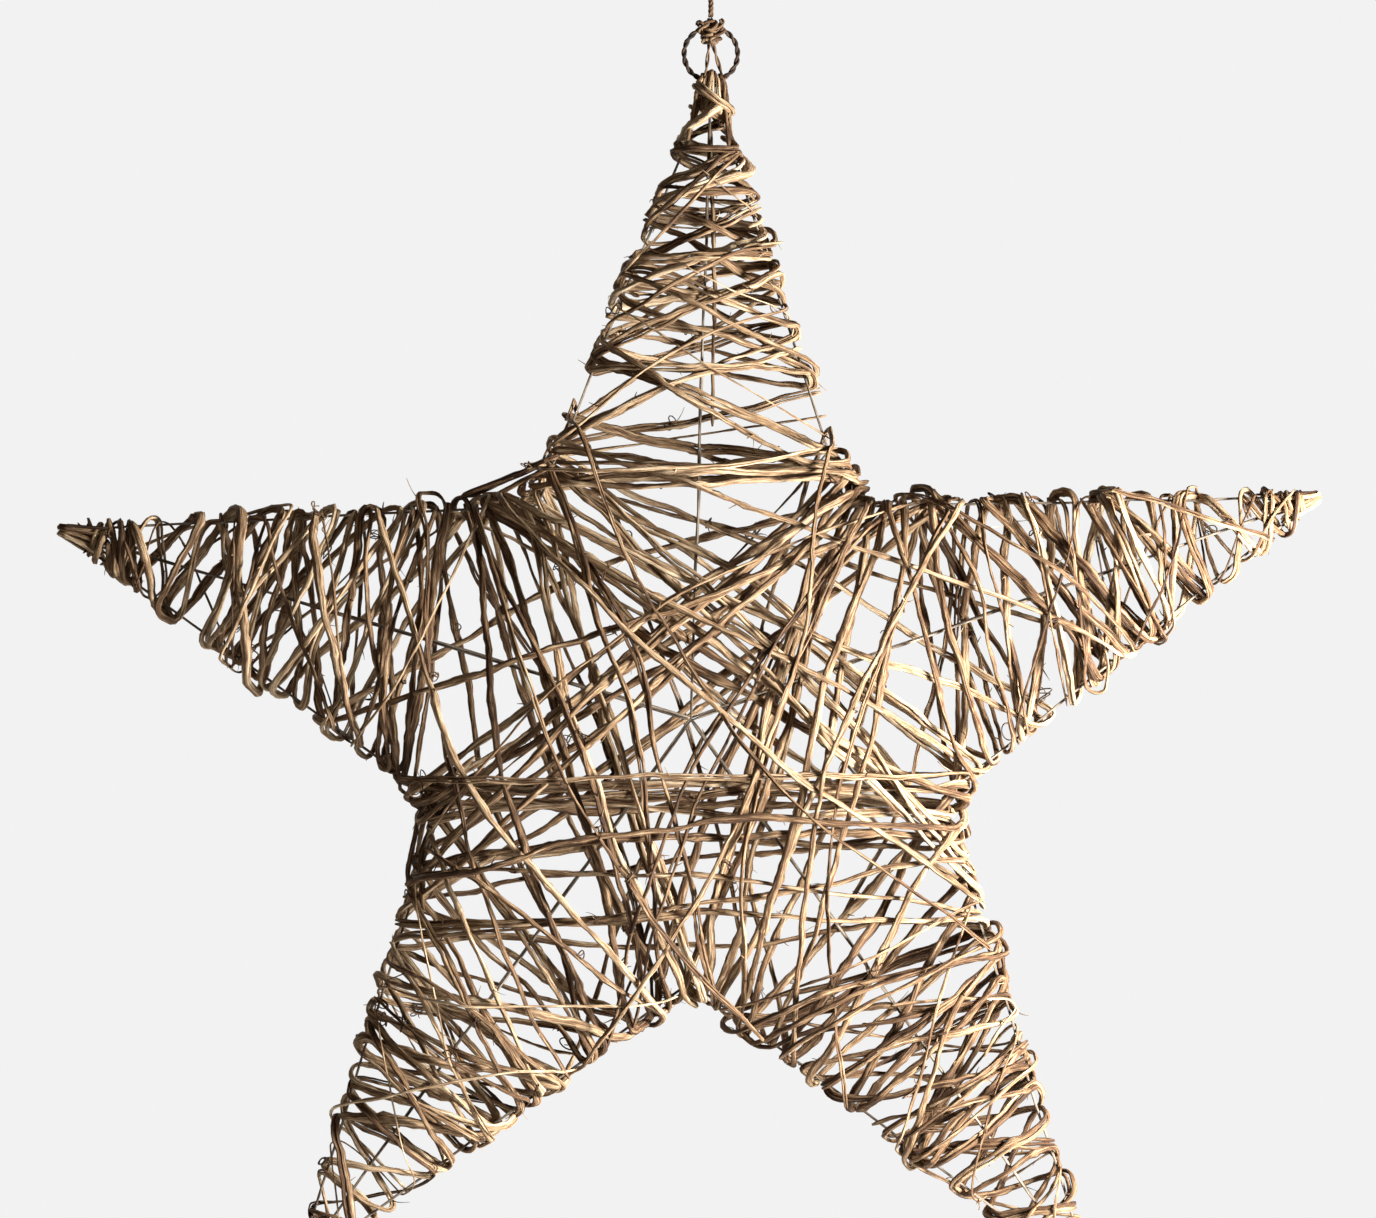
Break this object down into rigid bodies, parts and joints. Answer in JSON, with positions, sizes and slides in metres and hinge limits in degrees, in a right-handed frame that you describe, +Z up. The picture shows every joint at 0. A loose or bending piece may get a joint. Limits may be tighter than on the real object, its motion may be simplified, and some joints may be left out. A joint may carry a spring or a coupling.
{
  "type": "grapevine star",
  "caption": "Hanging five-pointed star ornament of grapevine wound over a wire frame, with a vine ring and a twine cord.",
  "frame": {"origin": "inside top of the loop at the end of the hanging cord, where it hangs", "axes": "+Z up along the cord, -Y the star's front, +X to the right as seen from the front"},
  "size_m": [0.6033, 0.1223, 0.6641],
  "materials": {
    "vine": "rough natural bark",
    "frame_wire": "dark annealed wire, dull",
    "ring_vine": "dark twisted vine, rough",
    "twine": "natural jute twine, matt"
  },
  "bodies": {
    "root": {"wire_frame": "frame_wire", "hanging_ring": "ring_vine", "cord_knot": "twine", "hanging_cord": "twine", "cord_loop": "twine", "apex_tie": "twine", "vine_across_lower_body": "vine", "vine_notch_weave": "vine", "vine_right_notch_fan": "vine", "vine_left_notch_fan": "vine", "vine_left_notch_to_right_leg": "vine", "vine_right_notch_to_left_leg": "vine", "vine_across_leg_tops": "vine", "vine_left_shoulder": "vine", "vine_right_shoulder": "vine", "vine_across_upper_body": "vine", "vine_front_double": "vine", "vine_top_1": "vine", "vine_top_2": "vine", "vine_top_3": "vine", "vine_top_4": "vine", "vine_top_5": "vine", "vine_top_6": "vine", "vine_left_1": "vine", "vine_left_2": "vine", "vine_left_3": "vine", "vine_left_4": "vine", "vine_left_5": "vine", "vine_left_6": "vine", "vine_left_leg_1": "vine", "vine_left_leg_2": "vine", "vine_left_leg_3": "vine", "vine_left_leg_4": "vine", "vine_left_leg_5": "vine", "vine_left_leg_6": "vine", "vine_right_leg_1": "vine", "vine_right_leg_2": "vine", "vine_right_leg_3": "vine", "vine_right_leg_4": "vine", "vine_right_leg_5": "vine", "vine_right_leg_6": "vine", "vine_right_1": "vine", "vine_right_2": "vine", "vine_right_3": "vine", "vine_right_4": "vine", "vine_right_5": "vine", "vine_right_6": "vine"}
  },
  "joints": []
}
